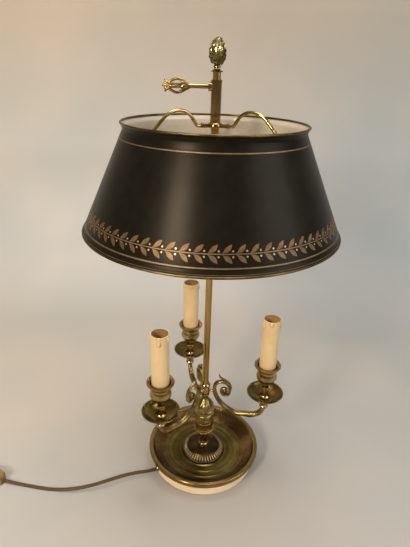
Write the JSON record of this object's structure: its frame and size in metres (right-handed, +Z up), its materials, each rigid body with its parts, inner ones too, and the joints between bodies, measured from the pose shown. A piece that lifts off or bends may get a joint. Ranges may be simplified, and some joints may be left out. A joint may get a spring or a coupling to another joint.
{
  "type": "table lamp",
  "caption": "Bouillotte table lamp: dished brass base on a round plinth, three scrolled candle arms and a conical metal shade that slides on a rod and is held by a pierced key.",
  "frame": {"origin": "centre of the round base at the surface it stands on", "axes": "+Z up along the rod, front of the lamp towards -Y, +X to the right seen from the front"},
  "size_m": [0.6895, 0.3488, 0.6595],
  "materials": {
    "felt": "green felt pad",
    "cream_wood": "cream painted wood, satin",
    "aged_brass": "aged brass with dark recesses",
    "bright_brass": "polished brass",
    "gilt_wire": "gilded wire",
    "shade_paint": "dark olive satin paint outside, white inside",
    "sleeve_card": "cream candle sleeve, satin",
    "holder_plastic": "ivory moulding",
    "steel": "zinc plated",
    "terminal_plastic": "white moulding",
    "cord_sheath": "clear brown two core cord",
    "switch_plastic": "gold brown moulding",
    "plug_plastic": "brown moulding",
    "pin_metal": "nickel plated"
  },
  "bodies": {
    "base": {"base_felt": "felt", "plinth": "cream_wood", "cord_bush": "aged_brass", "dish": "aged_brass", "tie_nut": "steel", "tie_washer": "steel", "tie_rod": "steel", "terminal_block": "terminal_plastic", "stem_foot": "aged_brass", "stem_neck": "aged_brass", "bead_ring": "aged_brass", "stem_drum": "aged_brass", "stem_vase": "aged_brass", "stem_collar": "aged_brass", "lamp_arm_1": "aged_brass", "drip_pan_1": "aged_brass", "candle_cup_1": "aged_brass", "candle_sleeve_1": "sleeve_card", "lampholder_1": "holder_plastic", "lamp_arm_2": "aged_brass", "drip_pan_2": "aged_brass", "candle_cup_2": "aged_brass", "candle_sleeve_2": "sleeve_card", "lampholder_2": "holder_plastic", "lamp_arm_3": "aged_brass", "drip_pan_3": "aged_brass", "candle_cup_3": "aged_brass", "candle_sleeve_3": "sleeve_card", "lampholder_3": "holder_plastic", "nipples": "steel", "holder_nuts": "steel", "cord_lead": "cord_sheath", "cord_link": "cord_sheath", "cord_coil": "cord_sheath", "switch_base": "switch_plastic", "switch_cover": "switch_plastic", "switch_screws": "steel", "plug_body": "plug_plastic", "plug_pins": "pin_metal"},
    "column": {"rod": "bright_brass", "finial": "aged_brass"},
    "carrier": {"slide_tube": "bright_brass", "carrier_hub": "aged_brass", "carrier_arm_1": "aged_brass", "carrier_arm_2": "aged_brass", "carrier_arm_3": "aged_brass", "shade": "shade_paint", "shade_top_wire": "gilt_wire", "shade_bottom_wire": "gilt_wire"},
    "key": {"key_screw": "aged_brass", "key_head": "aged_brass"},
    "rocker": {"switch_rocker": "switch_plastic"}
  },
  "joints": [
    {"name": "shade_swivel", "type": "hinge", "parent": "base", "child": "column", "pos_m": [0, 0, 0.15], "axis": [0, 0, 1], "continuous": true},
    {"name": "carrier_slide", "type": "slide", "parent": "column", "child": "carrier", "axis": [0, 0, 1], "range_m": [-0.16, 0.008]},
    {"name": "key_turn", "type": "hinge", "parent": "carrier", "child": "key", "pos_m": [0, 0, 0.604], "axis": [-1, 0, 0], "range_deg": [0, 180]},
    {"name": "switch_rock", "type": "hinge", "parent": "base", "child": "rocker", "pos_m": [-0.35264, -0.07181, 0.0115], "axis": [0.1512, 0.9885, 0], "range_deg": [0, 12]}
  ]
}
